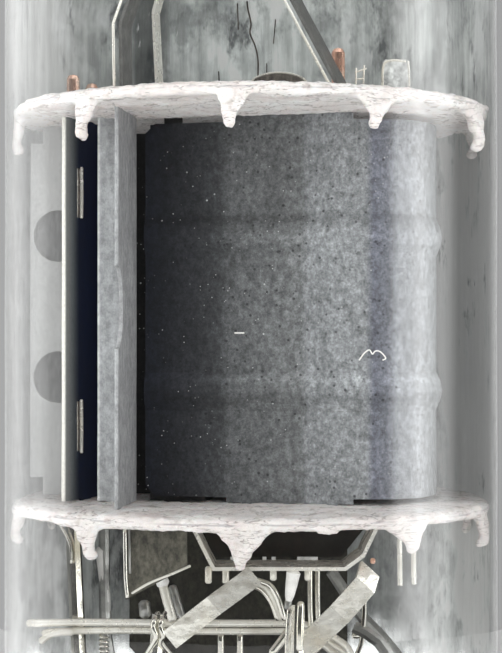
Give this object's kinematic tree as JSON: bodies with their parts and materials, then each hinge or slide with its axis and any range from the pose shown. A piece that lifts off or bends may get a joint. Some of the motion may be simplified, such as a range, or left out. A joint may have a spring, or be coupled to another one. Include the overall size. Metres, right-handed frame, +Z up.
{
  "type": "vacuum tube",
  "caption": "Double power triode: a two-anode electrode cage between coated mica discs in a tubular glass bulb, on a round plug-in base with a centre key.",
  "frame": {"origin": "centre of the key's flat end, the tube's lowest point", "axes": "+Z up the tube to the dome, -Y to the front, where the front anode shows, +X to the right seen from there"},
  "size_m": [0.0382, 0.0382, 0.102],
  "materials": {
    "clear_glass": "clear, blown, greyed at the back",
    "base_resin": "moulded phenolic",
    "carbon_black": "matt carbon coat, speckled",
    "carbon_grey": "matt grey coat",
    "coated_mica": "thick white sprayed coat",
    "copper": "drawn copper",
    "bright_nickel": "bright nickel",
    "dull_nickel": "dull nickel",
    "grid_wire": "drawn wire",
    "white_ceramic": "matt ceramic"
  },
  "bodies": {
    "root": {"glass_bulb": "clear_glass", "base_shell": "base_resin", "base_pin_1": "bright_nickel", "base_pin_2": "bright_nickel", "base_pin_3": "bright_nickel", "base_pin_4": "bright_nickel", "base_pin_5": "bright_nickel", "base_pin_6": "bright_nickel", "base_pin_7": "bright_nickel", "base_pin_8": "bright_nickel", "glass_stem": "clear_glass", "front_anode_outer": "carbon_black", "front_anode_inner": "carbon_black", "rear_anode_outer": "carbon_black", "rear_anode_inner": "carbon_black", "side_fin": "carbon_grey", "front_fin": "carbon_grey", "front_grid": "grid_wire", "rear_grid": "grid_wire", "front_cathode": "carbon_grey", "rear_cathode": "carbon_grey", "front_heater": "white_ceramic", "rear_heater": "white_ceramic", "front_grid_rod_1": "copper", "front_grid_rod_2": "copper", "rear_grid_rod_1": "copper", "rear_grid_rod_2": "copper", "upper_mica": "coated_mica", "lower_mica": "coated_mica", "copper_post_1": "copper", "copper_post_2": "copper", "getter_ring": "dull_nickel", "getter_strut_left": "dull_nickel", "getter_strut_rear": "bright_nickel", "getter_strut_right": "dull_nickel", "radiator_plate": "carbon_black", "mica_tab": "dull_nickel", "lower_bracket": "bright_nickel", "lower_baffle": "carbon_black", "lower_shield": "carbon_black", "rear_baffle": "carbon_black", "tie_bar": "bright_nickel", "strap_left": "bright_nickel", "strap_right": "bright_nickel", "lead_sleeve_1": "white_ceramic", "lead_sleeve_2": "white_ceramic", "lead_sleeve_3": "white_ceramic", "mica_hairpin": "bright_nickel", "stem_lead_1": "dull_nickel", "stem_lead_2": "dull_nickel", "stem_lead_3": "dull_nickel", "stem_lead_4": "dull_nickel", "stem_lead_5": "dull_nickel", "stem_lead_6": "dull_nickel", "stem_lead_7": "dull_nickel", "stem_lead_8": "dull_nickel"}
  },
  "joints": []
}
